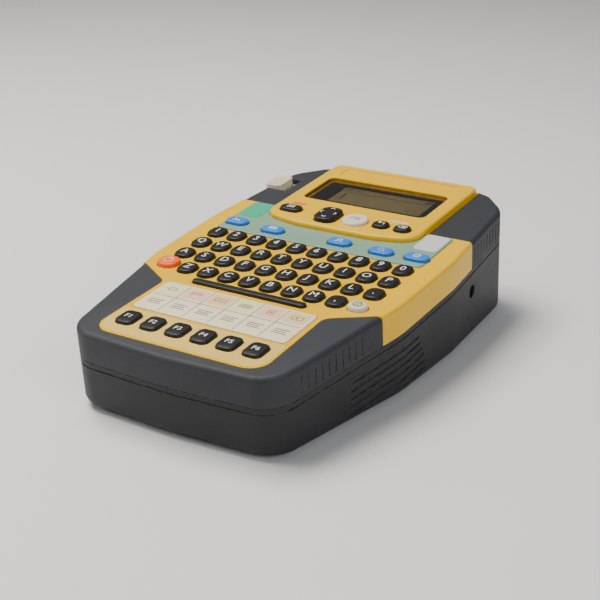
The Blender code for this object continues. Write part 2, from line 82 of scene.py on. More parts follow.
def slab(corners, low, high, grow=0.0, arcSegments=9, top=None):
    # a plate with rounded corners: grow pushes its outline outwards,
    # and top = (width, segments) rounds its upper edge
    bm = bmesh.new()
    ring = [bm.verts.new((x, y, low)) for x, y, r in corners]
    bm.faces.new(ring)
    for index, vert in enumerate(ring):
        if corners[index][2] > 0:
            bmesh.ops.bevel(bm, geom=[vert], offset=cornerReach(corners, index), segments=arcSegments,
                            profile=0.5, material=-1, affect="VERTICES")
    if grow:
        spread(bm, grow)
    raised = bmesh.ops.extrude_face_region(bm, geom=bm.faces[:])["geom"]
    lifted = [g for g in raised if isinstance(g, bmesh.types.BMVert)]
    bmesh.ops.translate(bm, verts=lifted, vec=(0, 0, high - low))
    bmesh.ops.recalc_face_normals(bm, faces=bm.faces[:])
    if top:
        soften(bm, high, *top)
    return bm


def spread(bm, distance):
    # moves a flat outline outwards along its own corners' bisectors
    face = next(iter(bm.faces))
    loops = list(face.loops)
    places = []
    turn = 1 if face.normal.z >= 0 else -1
    for loop in loops:
        back = (loop.vert.co - loop.link_loop_prev.vert.co).normalized()
        on = (loop.link_loop_next.vert.co - loop.vert.co).normalized()
        outBack = Vector((back.y, -back.x, 0)) * turn
        outOn = Vector((on.y, -on.x, 0)) * turn
        along = (outBack + outOn).normalized()
        mitre = max(0.35, along.dot(outOn))  # holds back a very sharp corner
        places.append(loop.vert.co + along * (distance / mitre))
    for loop, place in zip(loops, places):
        loop.vert.co = place


def soften(bm, level, width, segments=4):
    # rounds the rim edges that lie at one height
    rim = [e for e in bm.edges if all(abs(v.co.z - level) < 1e-4 for v in e.verts)]
    bmesh.ops.bevel(bm, geom=rim, offset=width, segments=segments, profile=0.5,
                    material=-1, affect="EDGES")


def merged(*parts):
    whole = bmesh.new()
    for part in parts:
        data = bpy.data.meshes.new("part")
        part.to_mesh(data)
        part.free()
        whole.from_mesh(data)
        bpy.data.meshes.remove(data)
    return whole


def temporary(bm, name):
    data = bpy.data.meshes.new(name)
    bm.to_mesh(data)
    bm.free()
    holder = bpy.data.objects.new(name, data)
    bpy.context.scene.collection.objects.link(holder)
    return holder


def carved(bm, tool, operation="DIFFERENCE"):
    # a Boolean step between two shapes, applied at once
    first, second = temporary(bm, "work"), temporary(tool, "tool")
    step = first.modifiers.new("step", "BOOLEAN")
    step.operation = operation
    step.object = second
    step.solver = "EXACT"
    bpy.context.view_layer.update()
    evaluated = first.evaluated_get(bpy.context.evaluated_depsgraph_get())
    result = bmesh.new()
    result.from_mesh(evaluated.to_mesh())
    evaluated.to_mesh_clear()
    for holder in (first, second):
        data = holder.data
        bpy.data.objects.remove(holder)
        bpy.data.meshes.remove(data)
    return result


def sliced(bm, point, normal, keepAbove=True):
    geom = bm.verts[:] + bm.edges[:] + bm.faces[:]
    cut = bmesh.ops.bisect_plane(bm, geom=geom, plane_co=point, plane_no=normal,
                                 clear_inner=keepAbove, clear_outer=not keepAbove)
    edges = [g for g in cut["geom_cut"] if isinstance(g, bmesh.types.BMEdge)]
    return bmesh.ops.contextual_create(bm, geom=edges)["faces"]


def rod(radius, low, high, at=(0, 0), segments=40, top=None, axis="Z"):
    bm = bmesh.new()
    bmesh.ops.create_cone(bm, cap_ends=True, segments=segments, radius1=radius, radius2=radius,
                          depth=high - low)
    bmesh.ops.translate(bm, verts=bm.verts, vec=(0, 0, (low + high) / 2))
    if top:
        soften(bm, high, *top)
    if axis == "X":
        bmesh.ops.rotate(bm, verts=bm.verts, cent=(0, 0, 0), matrix=Matrix.Rotation(math.pi / 2, 3, "Y"))
        bmesh.ops.translate(bm, verts=bm.verts, vec=(0, at[0], at[1]))
    else:
        bmesh.ops.translate(bm, verts=bm.verts, vec=(at[0], at[1], 0))
    return bm


def place(bm, name, body, finish, toWorld=faceToWorld, sharp=30, standsFor=()):
    # stands a shape in the world, smooths it and ties it to its moving body
    bmesh.ops.transform(bm, matrix=toWorld, verts=bm.verts)
    bmesh.ops.recalc_face_normals(bm, faces=bm.faces[:])
    data = bpy.data.meshes.new(name)
    bm.to_mesh(data)
    bm.free()
    data.shade_smooth()
    data.set_sharp_from_angle(angle=math.radians(sharp))
    data.materials.append(finish["material"])
    piece = bpy.data.objects.new(name, data)
    bpy.context.scene.collection.objects.link(piece)
    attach(piece, body)
    if standsFor:
        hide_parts(*standsFor)
    return piece


class Wire:
    # wraps one socket, so shader maths reads as an ordinary expression
    def __init__(self, tree, socket=None):
        self.tree = tree
        self.socket = socket

    def node(self, kind, settings=None, sockets=None, output=0):
        made = self.tree.nodes.new(kind)
        for name, value in (settings or {}).items():
            setattr(made, name, value)
        for name, value in (sockets or {}).items():
            if isinstance(value, Wire):
                self.tree.links.new(value.socket, made.inputs[name])
            else:
                made.inputs[name].default_value = value
        return Wire(self.tree, made.outputs[output])

    def maths(self, operation, first, second):
        return self.node("ShaderNodeMath", {"operation": operation}, {0: first, 1: second})

    def __add__(self, other):
        return self.maths("ADD", self, other)

    def __radd__(self, other):
        return self.maths("ADD", other, self)

    def __sub__(self, other):
        return self.maths("SUBTRACT", self, other)

    def __rsub__(self, other):
        return self.maths("SUBTRACT", other, self)

    def __mul__(self, other):
        return self.maths("MULTIPLY", self, other)

    def __rmul__(self, other):
        return self.maths("MULTIPLY", other, self)

    def clamped(self, low, high):
        # stretches the part between low and high over 0 to 1
        return self.node("ShaderNodeMapRange", {}, {0: self, 1: low, 2: high})

    def mixed(self, factor, first, second):
        return self.node("ShaderNodeMix", {"data_type": "RGBA"}, {"Factor": factor, 6: first, 7: second}, 2)


def newFinish(name, slot, build):
    material = bpy.data.materials.new(name)
    material.use_nodes = True
    tree = material.node_tree
    shader = tree.nodes["Principled BSDF"]
    spot = Wire(tree).node("ShaderNodeTexCoord", output=3)
    build(spot, shader)
    return {"material": material, "slot": slot}


def noise(spot, scale, detail=3.0, roughness=0.55, distortion=0.0):
    return spot.node("ShaderNodeTexNoise", {}, {"Vector": spot, "Scale": scale, "Detail": detail,
                                                "Roughness": roughness, "Distortion": distortion})


def stretched(spot, sizes, turn=(0, 0, 0)):
    return spot.node("ShaderNodeMapping", {}, {"Vector": spot, "Scale": sizes, "Rotation": turn})


def feed(shader, name, value):
    shader.id_data.links.new(value.socket, shader.inputs[name])


surfaceWearAndShade = {
    "cloudScale": 22, "poreScale": 0.8, "scuffScale": (420, 60, 420), "scuffTurn": (0.2, 0.1, 0.7),
    "markScale": 75, "edgeScale": 320, "dustAndShadeScale": 180, "dustAndShadeReach": 2.2, "scuffDepth": 0.03,
    "coatRoughness": 0.2,
}


def moulded(look):
    # plastic or rubber: cloudy tone, fine grain, rubbed edges, dust and painted shade in the corners, finger
    # marks
    def build(spot, shader):
        cloud = noise(spot, surfaceWearAndShade["cloudScale"], 4).clamped(0.35, 0.65)
        grain = noise(spot, look["grainScale"], 2, 0.6)
        pores = spot.node("ShaderNodeTexVoronoi", {"feature": "SMOOTH_F1"},
                          {"Vector": spot, "Scale": look["grainScale"] * surfaceWearAndShade["poreScale"]})
        scuffSpot = stretched(spot, surfaceWearAndShade["scuffScale"], surfaceWearAndShade["scuffTurn"])
        scuffs = noise(scuffSpot, 1.0, 3, 0.6, 0.4).clamped(0.62, 0.74)
        marks = noise(spot, surfaceWearAndShade["markScale"], 5, 0.65, 1.2).clamped(0.45, 0.75)
        softNormal = spot.node("ShaderNodeBevel", {"samples": 4}, {"Radius": look["edgeReach"] * mm})
        faceNormal = spot.node("ShaderNodeNewGeometry", output=1)
        aligned = spot.node("ShaderNodeVectorMath", {"operation": "DOT_PRODUCT"},
                            {0: softNormal, 1: faceNormal}, 1)
        patchy = noise(spot, surfaceWearAndShade["edgeScale"], 4).clamped(0.42, 0.62)
        rubbed = (1 - aligned).clamped(0.01, 0.16) * patchy
        # painted shade and dust: where the AO node finds the surface occluded, the tone is pulled towards the
        # dust colour; on the coloured plastics that darkens the crevices where shade falls, on the black ones
        # it lightens them like dust
        openness = spot.node("ShaderNodeAmbientOcclusion", {"samples": 4},
                             {"Distance": surfaceWearAndShade["dustAndShadeReach"] * mm}, 1)
        dustAndShadePatches = noise(spot, surfaceWearAndShade["dustAndShadeScale"], 4).clamped(0.3, 0.6)
        dust = (1 - openness).clamped(0.25, 0.9) * dustAndShadePatches
        tone = spot.mixed(cloud, (*look["colour"], 1), (*look["shade"], 1))
        tone = spot.mixed(grain.clamped(0.3, 0.7) * look["speckle"], tone, (*look["fleck"], 1))
        tone = spot.mixed(rubbed * look["wear"], tone, (*look["rubbed"], 1))
        tone = spot.mixed(dust * look["dust"], tone, (*look["dustColour"], 1))
        feed(shader, "Base Color", tone)
        low, high = look["roughness"]
        reach = high - low
        feed(shader, "Roughness",
             marks * (reach * 0.6) + low + scuffs * 0.08 + dust * 0.15 + cloud * (reach * 0.4))
        relief = grain * 0.6 + pores * 0.4
        bump = spot.node("ShaderNodeBump", {}, {"Height": relief, "Strength": look["bump"],
                                                "Distance": look["relief"] * mm})
        scored = spot.node("ShaderNodeBump", {}, {"Height": scuffs, "Strength": look["scored"],
                                                  "Distance": surfaceWearAndShade["scuffDepth"] * mm,
                                                  "Normal": bump})
        feed(shader, "Normal", scored)
        shader.inputs["Specular IOR Level"].default_value = look["gloss"]
        if look.get("coat"):
            shader.inputs["Coat Weight"].default_value = look["coat"]
            shader.inputs["Coat Roughness"].default_value = surfaceWearAndShade["coatRoughness"]
    return build


# the dust tint here is a light grey dust for the black plastics; the coloured finishes below give darker
# tints, which paint shade into their crevices
plainMould = {
    "edgeReach": 0.7, "scored": 0.06, "grainScale": 2600, "speckle": 0.12, "wear": 0.35, "dust": 0.35,
    "dustColour": (0.32, 0.29, 0.24), "bump": 0.35, "relief": 0.12, "gloss": 0.28, "roughness": (0.32, 0.5),
}


def mouldLook(colour, shade, **changes):
    look = {**plainMould, "colour": colour, "shade": shade, "fleck": shade, "rubbed": colour}
    look.update(changes)
    return moulded(look)


yellowShell = newFinish("yellowMoulding", "yellow_shell", mouldLook(
    (0.86, 0.50, 0.0), (0.81, 0.46, 0.0), fleck=(0.72, 0.39, 0.0), rubbed=(0.95, 0.64, 0.06),
    dustColour=(0.30, 0.14, 0.01), roughness=(0.30, 0.42), bump=0.45, speckle=0.25, wear=0.6))
charcoalShell = newFinish("charcoalMoulding", "charcoal_shell", mouldLook(
    (0.021, 0.021, 0.023), (0.018, 0.018, 0.020), fleck=(0.034, 0.034, 0.036), rubbed=(0.08, 0.08, 0.08),
    bump=0.9, relief=0.22, grainScale=1900, roughness=(0.48, 0.56), wear=0.8))
softCover = newFinish("softCoverRubber", "black_rubber", mouldLook(
    (0.026, 0.027, 0.032), (0.022, 0.023, 0.028), fleck=(0.035, 0.036, 0.042), rubbed=(0.08, 0.08, 0.09),
    bump=0.8, relief=0.2, grainScale=2300, roughness=(0.56, 0.66), gloss=0.4, wear=0.8))
keyRubber = newFinish("keyRubber", "key_rubber", mouldLook(
    (0.012, 0.010, 0.010), (0.009, 0.008, 0.008), fleck=(0.025, 0.022, 0.020), rubbed=(0.07, 0.065, 0.06),
    bump=0.45, roughness=(0.38, 0.50), grainScale=3200, wear=0.6))
blueRubber = newFinish("blueKeyRubber", "blue_key", mouldLook(
    (0.02, 0.19, 0.62), (0.015, 0.16, 0.55), rubbed=(0.18, 0.38, 0.68), fleck=(0.08, 0.26, 0.60),
    bump=0.25, roughness=(0.36, 0.52), dustColour=(0.05, 0.08, 0.14)))
orangeRubber = newFinish("orangeKeyRubber", "orange_key", mouldLook(
    (1.0, 0.12, 0.0), (0.95, 0.10, 0.0), rubbed=(0.95, 0.40, 0.12), fleck=(0.9, 0.25, 0.05),
    bump=0.25, roughness=(0.34, 0.5), dustColour=(0.25, 0.06, 0.02)))
creamKey = newFinish("creamKeyRubber", "cream_key", mouldLook(
    (0.72, 0.65, 0.50), (0.62, 0.55, 0.42), rubbed=(0.8, 0.76, 0.66), fleck=(0.6, 0.54, 0.42),
    bump=0.25, roughness=(0.36, 0.52), dustColour=(0.3, 0.25, 0.17)))
creamPanel = newFinish("creamLegendPanel", "cream_panel", mouldLook(
    (0.88, 0.76, 0.53), (0.82, 0.70, 0.47), rubbed=(0.9, 0.82, 0.66), fleck=(0.66, 0.58, 0.42),
    bump=0.15, roughness=(0.38, 0.52), dustColour=(0.38, 0.30, 0.18)))
silverBand = newFinish("silverBandPaint", "silver_band", mouldLook(
    (0.18, 0.32, 0.22), (0.15, 0.28, 0.19), rubbed=(0.5, 0.55, 0.5), fleck=(0.30, 0.44, 0.34), speckle=0.5,
    bump=0.12, roughness=(0.3, 0.42), grainScale=4200, dustColour=(0.13, 0.15, 0.12), coat=0.15))
worksPlastic = newFinish("worksPlastic", "works_plastic", mouldLook(
    (0.16, 0.165, 0.18), (0.12, 0.125, 0.135), rubbed=(0.3, 0.3, 0.32), bump=0.4, roughness=(0.4, 0.58)))
gearPlastic = newFinish("gearPlastic", "gear_plastic", mouldLook(
    (0.80, 0.78, 0.70), (0.72, 0.70, 0.61), rubbed=(0.88, 0.86, 0.8), bump=0.15, roughness=(0.34, 0.46)))
tapeWhite = newFinish("tapeWhite", "white_tape", mouldLook(
    (0.84, 0.84, 0.81), (0.76, 0.76, 0.73), rubbed=(0.9, 0.9, 0.88), bump=0.12, roughness=(0.3, 0.42)))


def brushedMetal(spot, shader):
    lines = noise(stretched(spot, (60, 2600, 2600)), 1.0, 4, 0.7)
    stain = noise(spot, 120, 5).clamped(0.5, 0.75)
    feed(shader, "Base Color", spot.mixed(stain, (0.58, 0.58, 0.60, 1), (0.42, 0.41, 0.40, 1)))
    feed(shader, "Roughness", lines * 0.25 + 0.2 + stain * 0.15)
    feed(shader, "Normal",
         spot.node("ShaderNodeBump", {}, {"Height": lines, "Strength": 0.25, "Distance": 0.03 * mm}))
    shader.inputs["Metallic"].default_value = 1.0


def boardGreen(spot, shader):
    tracks = spot.node("ShaderNodeTexBrick", {}, {
        "Vector": spot, "Scale": 420.0, "Color1": (0.02, 0.16, 0.06, 1), "Color2": (0.03, 0.22, 0.09, 1),
        "Mortar": (0.05, 0.30, 0.13, 1)})
    feed(shader, "Base Color", tracks)
    feed(shader, "Roughness", noise(spot, 300, 3) * 0.2 + 0.3)


def displayGlass(spot, shader):
    # passive display: olive field, a fine cell grid and a soft mottling
    cells = spot.node("ShaderNodeTexVoronoi", {"distance": "CHEBYCHEV"},
                      {"Vector": stretched(spot, (1700, 1700, 1)), "Scale": 1.0, "Randomness": 0.0})
    grid = cells.clamped(0.40, 0.48)
    cloud = noise(spot, 40, 3).clamped(0.3, 0.7)
    tone = spot.mixed(cloud, (0.46, 0.37, 0.19, 1), (0.39, 0.315, 0.165, 1))
    tone = spot.mixed(grid * 0.35, tone, (0.22, 0.185, 0.11, 1))
    feed(shader, "Base Color", tone)
    feed(shader, "Roughness", cloud * 0.1 + 0.32)


def lensClear(spot, shader):
    # acrylic window: mostly clear, mirror-like at a glance, with fine hairlines
    hair = noise(stretched(spot, (1500, 90, 1500), (0, 0, 0.5)), 1.0, 2).clamped(0.66, 0.72)
    feed(shader, "Roughness", hair * 0.2 + 0.06)
    shader.inputs["Base Color"].default_value = (0.02, 0.02, 0.02, 1)
    tree = shader.id_data
    glint = spot.node("ShaderNodeLayerWeight", {}, {"Blend": 0.35})
    clear = spot.node("ShaderNodeBsdfTransparent", {}, {"Color": (0.93, 0.92, 0.88, 1)})
    mix = tree.nodes.new("ShaderNodeMixShader")
    tree.links.new((glint * 0.5 + 0.07 + hair * 0.03).socket, mix.inputs[0])
    tree.links.new(clear.socket, mix.inputs[1])
    tree.links.new(shader.outputs[0], mix.inputs[2])
    tree.links.new(mix.outputs[0], tree.nodes["Material Output"].inputs[0])


def inkOf(colour, worn=0.25):
    # printed ink that has rubbed thin in places
    def build(spot, shader):
        thin = noise(spot, 900, 4).clamped(0.55, 0.7)
        dark = tuple(c * (1 - worn) for c in colour)
        feed(shader, "Base Color", spot.mixed(thin, (*colour, 1), (*dark, 1)))
        feed(shader, "Roughness", thin * 0.15 + 0.42)
    return build


steel = newFinish("brushedSteel", "steel", brushedMetal)
board = newFinish("circuitBoard", "circuit_board", boardGreen)
displayField = newFinish("displayField", "display", displayGlass)
clearWindow = newFinish("windowAcrylic", "window", lensClear)
# painted highlight: a paler copy of the shell yellow, in the shell's own slot, for the lighter look of the
# hot-key zone
highlitYellow = newFinish("paintedHighlightYellow", "yellow_shell", mouldLook(
    (0.80, 0.56, 0.13), (0.74, 0.50, 0.11), rubbed=(0.85, 0.65, 0.25), fleck=(0.7, 0.48, 0.1), bump=0.15,
    roughness=(0.36, 0.48)))
paleInk = newFinish("paleLegendInk", "key_rubber", inkOf((0.86, 0.82, 0.70)))
pinkInk = newFinish("pinkPanelInk", "cream_panel", inkOf((0.88, 0.52, 0.38), 0.1))
limeInk = newFinish("limePanelInk", "cream_panel", inkOf((0.78, 0.76, 0.36), 0.1))
darkInk = newFinish("darkLegendInk", "cream_panel", inkOf((0.07, 0.06, 0.05)))
redInk = newFinish("redLegendInk", "yellow_shell", inkOf((0.75, 0.10, 0.07)))
tealInk = newFinish("tealInlay", "silver_band", inkOf((0.02, 0.40, 0.20), 0.12))
greyInk = newFinish("greyInlay", "silver_band", inkOf((0.60, 0.58, 0.54), 0.1))
# dark print for the display border and segments; the border's wide left strip is a painted reflection
maskAndReflectionInk = newFinish("windowMaskAndReflection", "display", inkOf((0.020, 0.016, 0.012), 0.4))
tanInk = newFinish("tanPanelInk", "cream_panel", inkOf((0.80, 0.56, 0.28), 0.1))
print("finishes made")

keyboard = {
    "pitch": 11.3, "columns": 10, "rows": [5.2, -8.3, -21.8, -35.3], "size": (9.4, 10.6), "radius": 4.1,
    "rise": 1.5, "rounding": 0.85, "crown": 0.18, "legendSize": 5.8, "skirt": -3.2,
    "strip": (5.1, 5.7), "stripLevels": (-3.6, -2.7),
    "legends": ["1234567890", "QWERTYUIOP", "ASDFGHJKL.", "ZXCVBNM,"],
}
keyForm = {"swellStep": 0.75, "skirt": 0.4, "flange": 0.7, "flangeDepth": 0.9}
openings = []  # the outline and deck height of each key's opening


def capShape(corners, low, high, rounding, crown):
    # soft key: straight skirt, rolled edge, then rings of inset that swell the middle
    bm = slab(corners, low, high, -gap, 7)
    soften(bm, high, rounding, 4)
    lid = max((f for f in bm.faces if f.normal.z > 0.9), key=lambda f: f.calc_area())
    ys = [v.co.y for v in lid.verts]
    step = min(keyForm["swellStep"], (max(ys) - min(ys)) / 10)
    for share in (0.5, 0.3, 0.2):
        bmesh.ops.inset_region(bm, faces=[lid], thickness=step, depth=crown * share, use_even_offset=True)
    return bm


def addKey(name, corners, finish, rise, deck=0.0, crown=0.2, rounding=0.8):
    # a cap with a flange that stays under the deck
    under = deck - case["wall"] - gap
    cap = capShape(corners, under - keyForm["skirt"], deck + rise, rounding, crown)
    flange = slab(corners, under - keyForm["flangeDepth"], under, keyForm["flange"], 3)
    openings.append((corners, deck))
    place(merged(cap, flange), name + "Cap", name, finish, standsFor=[name])


def columnX(index):
    return (index - (keyboard["columns"] - 1) / 2) * keyboard["pitch"]


printThickness = 0.05


def glyphs(text, size, middle, height):
    # lettering as a thin raised print, its middle at a point on the face
    curve = bpy.data.curves.new("glyph", "FONT")
    curve.body = text
    curve.size = size
    curve.align_x = "CENTER"
    curve.align_y = "CENTER"
    curve.resolution_u = 3
    holder = bpy.data.objects.new("glyph", curve)
    bpy.context.scene.collection.objects.link(holder)
    bpy.context.view_layer.update()
    evaluated = holder.evaluated_get(bpy.context.evaluated_depsgraph_get())
    bm = bmesh.new()
    bm.from_mesh(evaluated.to_mesh())
    evaluated.to_mesh_clear()
    bpy.data.objects.remove(holder)
    bpy.data.curves.remove(curve)
    bmesh.ops.remove_doubles(bm, verts=bm.verts, dist=1e-4)
    raised = bmesh.ops.extrude_face_region(bm, geom=bm.faces[:])["geom"]
    lifted = [g for g in raised if isinstance(g, bmesh.types.BMVert)]
    bmesh.ops.translate(bm, verts=lifted, vec=(0, 0, printThickness))
    bmesh.ops.translate(bm, verts=bm.verts, vec=(middle[0], middle[1], height))
    return bm


def strokes(paths, width, middle, height, scale=1.0):
    # line drawing as thin raised print: every run of every path is one flat bar
    bars = []
    for path in paths:
        for (x0, y0), (x1, y1) in zip(path, path[1:]):
            start = Vector((middle[0] + x0 * scale, middle[1] + y0 * scale))
            end = Vector((middle[0] + x1 * scale, middle[1] + y1 * scale))
            along = (end - start).normalized() * width / 2
            across = Vector((-along.y, along.x))
            start, end = start - along, end + along
            corners = [(*point, 0) for point in (start + across, end + across, end - across, start - across)]
            bars.append(slab(corners, height, height + printThickness, 0, 1))
    return merged(*bars)


def arc(radius, fromDegrees, toDegrees, steps=18):
    turns = [math.radians(fromDegrees + (toDegrees - fromDegrees) * k / steps) for k in range(steps + 1)]
    return [(radius * math.cos(t), radius * math.sin(t)) for t in turns]


def frameOf(x0, y0, x1, y1):
    return [(x0, y0), (x1, y0), (x1, y1), (x0, y1), (x0, y0)]


for number, y in enumerate(keyboard["rows"], 1):
    node = f"key_row_{number}"
    places = [columnX(index) for index in range(keyboard["columns"])]
    if number == len(keyboard["rows"]):
        places = places[1:-1]
    shapes, letters = [], []
    for x, letter in zip(places, keyboard["legends"][number - 1]):
        corners = centred(x, y, *keyboard["size"], keyboard["radius"])
        shapes.append(capShape(corners, keyboard["skirt"], keyboard["rise"], keyboard["rounding"],
                               keyboard["crown"]))
        openings.append((corners, 0.0))
        top = keyboard["rise"] + keyboard["crown"]
        letters.append(glyphs(letter, keyboard["legendSize"], (x, y), top - 0.02))
    beside, above = keyboard["strip"]
    strip = boxCorners(places[0] - beside, y - above, places[-1] + beside, y + above, 1)
    shapes.append(slab(strip, *keyboard["stripLevels"], 0, 3))
    place(merged(*shapes), f"letterKeys{number}", node, keyRubber, standsFor=[node])
    place(merged(*letters), f"letterPrint{number}", node, paleInk, sharp=60)

rise = case["headRise"]
sideKeys = {
    "power_key": {"at": (-51.5, -33.9), "size": (11, 10.6, 4.7), "rise": 1.9, "finish": orangeRubber},
    "print_key": {"at": (50.4, -36.0), "size": (9.4, 8.0, 3.6), "rise": 1.9, "finish": creamKey},
}
blueKeys = {"places": [(-49.5, 20.5), (-27.5, 19.0), (9.5, 20.0), (32.5, 19.0), (50.5, 20.0)],
            "size": (12.5, 7.6, 3.5), "rise": 1.8}
hotKeys = {"places": [-32.5, -19.5, -6.5, 6.5, 19.5, 32.5], "y": -88.0, "size": (9.6, 11.8, 3.2), "rise": 1.5}
headKeys = {
    "menu_key": {"at": (-30.5, 41.2), "size": (12.5, 7.6, 3.6), "rise": 1.5},
    "nav_pad": {"at": (-8.5, 40.5), "size": (12, 16, 4.6), "rise": 2.2},
    "ok_key": {"at": (6.5, 40.5), "radius": 6.2, "rise": 1.7},
    "back_key": {"at": (20.4, 41.2), "size": (9.0, 7.6, 3.6), "rise": 1.5},
    "delete_key": {"at": (32.0, 41.2), "size": (9.0, 7.6, 3.6), "rise": 1.5},
}
for name, key in sideKeys.items():
    addKey(name, centred(*key["at"], *key["size"]), key["finish"], key["rise"])
addKey("space_key", boxCorners(-30, -47.0, 30, -42.6, 2.0), keyRubber, 1.3, rounding=0.6, crown=0.1)
for number, spot in enumerate(blueKeys["places"], 1):
    addKey(f"function_key_{number}", centred(*spot, *blueKeys["size"]), blueRubber, blueKeys["rise"])
for number, x in enumerate(hotKeys["places"], 1):
    addKey(f"hot_key_{number}", centred(x, hotKeys["y"], *hotKeys["size"]), keyRubber, hotKeys["rise"])
for name, key in headKeys.items():
    if name == "ok_key":
        addKey(name, circleCorners(*key["at"], key["radius"]), creamKey, key["rise"], rise)
    else:
        addKey(name, centred(*key["at"], *key["size"]), keyRubber, key["rise"], rise)

icons = {
    "power": [arc(1, 125, 415), [(0, 0.5), (0, 1.25)]],
    "print": [frameOf(-1.2, -0.5, 1.2, 0.4), frameOf(-0.7, 0.4, 0.7, 1.1),
              [(-0.7, -0.5), (-0.7, -1), (0.7, -1), (0.7, -0.5)]],
    "up": [[(-0.7, -0.35), (0, 0.35), (0.7, -0.35)]],
    "down": [[(-0.7, 0.35), (0, -0.35), (0.7, 0.35)]],
    "left": [[(0.35, 0.7), (-0.35, 0), (0.35, -0.7)]],
    "right": [[(-0.35, 0.7), (0.35, 0), (-0.35, -0.7)]],
    "menu": [[(-1.3, 0.7), (1.3, 0.7)], [(-1.3, 0), (1.3, 0)], [(-1.3, -0.7), (1.3, -0.7)]],
    "back": [[(1.2, -0.7), (1.2, 0.4), (-1.0, 0.4)], [(-0.3, 1), (-1.1, 0.4), (-0.3, -0.2)]],
    "erase": [[(-1.4, 0), (-0.6, 0.8), (1.4, 0.8), (1.4, -0.8), (-0.6, -0.8), (-1.4, 0)],
              [(-0.1, 0.35), (0.7, -0.35)], [(-0.1, -0.35), (0.7, 0.35)]],
    "size": [[(-1.3, -0.8), (-0.6, 0.8), (0.1, -0.8)], [(-1.0, -0.2), (-0.2, -0.2)],
             [(0.6, -0.8), (0.95, 0.1), (1.3, -0.8)]],
    "save": [frameOf(-0.9, -0.9, 0.9, 0.9), frameOf(-0.4, 0.2, 0.4, 0.9)],
    "frame": [frameOf(-1.3, -0.8, 1.3, 0.8), frameOf(-0.8, -0.35, 0.8, 0.35)],
    "repeat": [arc(0.9, 40, 320), [(0.3, -1.0), (0.75, -0.55), (1.2, -0.9)]],
    "symbol": [[(-1.2, -0.8), (-0.4, -0.8), (-0.8, 0.6), (0, 0.9), (0.8, 0.6), (0.4, -0.8), (1.2, -0.8)]],
    "wrap": [[(-2, 0), (-1, 0)], [(1, 0), (2, 0)], frameOf(-1, -0.8, 1, 0.8)],
    "flag": [[(-1.6, -1), (-1.6, 1)], frameOf(-1.6, 0, 1.4, 1)],
    "blocks": [frameOf(-1.8, -0.8, 1.8, 0.8), [(-0.6, -0.8), (-0.6, 0.8)], [(0.6, -0.8), (0.6, 0.8)]],
    "ports": [frameOf(-1.8, -0.9, 1.8, 0.9), frameOf(-1.2, -0.4, -0.3, 0.4), frameOf(0.3, -0.4, 1.2, 0.4)],
    "module": [frameOf(-1, -1.1, 1, 1.1), [(0, -0.5), (0, 0.5)], [(-0.5, 0), (0.5, 0)]],
    "tag": [[(-1.8, 0), (-1, 0.9), (1.8, 0.9), (1.8, -0.9), (-1, -0.9), (-1.8, 0)], arc(0.25, 0, 360, 8)],
}
keyMarks = {
    "width": 0.42, "lift": 0.17, "okSize": 4.2, "hotSize": 4.0,
    "head": {"menu_key": "menu", "back_key": "back", "delete_key": "erase"},
    "arrows": {"up": (0, 5.2), "down": (0, -5.2), "left": (-3.9, 0), "right": (3.9, 0)},
    "function": ["size", "frame", "symbol", "repeat", "save"],
}


def markKey(node, icon, spot, top, finish, scale=1.5, width=keyMarks["width"]):
    drawing = strokes(icons[icon], width, spot, top + keyMarks["lift"], scale)
    place(drawing, f"{node}Mark{icon.title()}", node, finish, sharp=60)


markKey("power_key", "power", sideKeys["power_key"]["at"], sideKeys["power_key"]["rise"], paleInk, 2.2, 0.6)
markKey("print_key", "print", sideKeys["print_key"]["at"], sideKeys["print_key"]["rise"], darkInk, 1.7)
for name, icon in keyMarks["head"].items():
    markKey(name, icon, headKeys[name]["at"], rise + headKeys[name]["rise"], paleInk)
padX, padY = headKeys["nav_pad"]["at"]
for direction, (dx, dy) in keyMarks["arrows"].items():
    markKey("nav_pad", direction, (padX + dx, padY + dy), rise + headKeys["nav_pad"]["rise"], paleInk, 1.4)
okKey = headKeys["ok_key"]
place(glyphs("OK", keyMarks["okSize"], okKey["at"], rise + okKey["rise"] + keyMarks["lift"]),
      "okLegend", "ok_key", darkInk, sharp=60)
for number, (spot, icon) in enumerate(zip(blueKeys["places"], keyMarks["function"]), 1):
    markKey(f"function_key_{number}", icon, spot, blueKeys["rise"], paleInk)
for number, x in enumerate(hotKeys["places"], 1):
    legend = glyphs(f"F{number}", keyMarks["hotSize"], (x, hotKeys["y"]), hotKeys["rise"] + keyMarks["lift"])
    place(legend, f"hotLegend{number}", f"hot_key_{number}", paleInk, sharp=60)
print("keys made")


shaft = {"below": 6, "above": 2, "widen": 0.25}


def openingTool(entries, flare=0.45):
    # every key opening at once: a shaft whose mouth widens towards the deck
    shafts = []
    for corners, deck in entries:
        bm = slab(corners, deck - shaft["below"], deck + shaft["above"], 0, 7)
        if flare:
            geom = bm.verts[:] + bm.edges[:] + bm.faces[:]
            bmesh.ops.bisect_plane(bm, geom=geom, plane_co=(0, 0, deck - flare), plane_no=(0, 0, 1))
            flareMouth(bm, corners, deck, shaft["widen"] * (shaft["above"] + flare) / flare)
        shafts.append(bm)
    return merged(*shafts)


def flareMouth(bm, corners, deck, lip):
    xs, ys = [c[0] for c in corners], [c[1] for c in corners]
    middleX, middleY = sum(xs) / len(xs), sum(ys) / len(ys)
    for vert in bm.verts:
        if vert.co.z > deck:
            vert.co.x = middleX + (vert.co.x - middleX) * (1 + 2 * lip / (max(xs) - min(xs)))
            vert.co.y = middleY + (vert.co.y - middleY) * (1 + 2 * lip / (max(ys) - min(ys)))


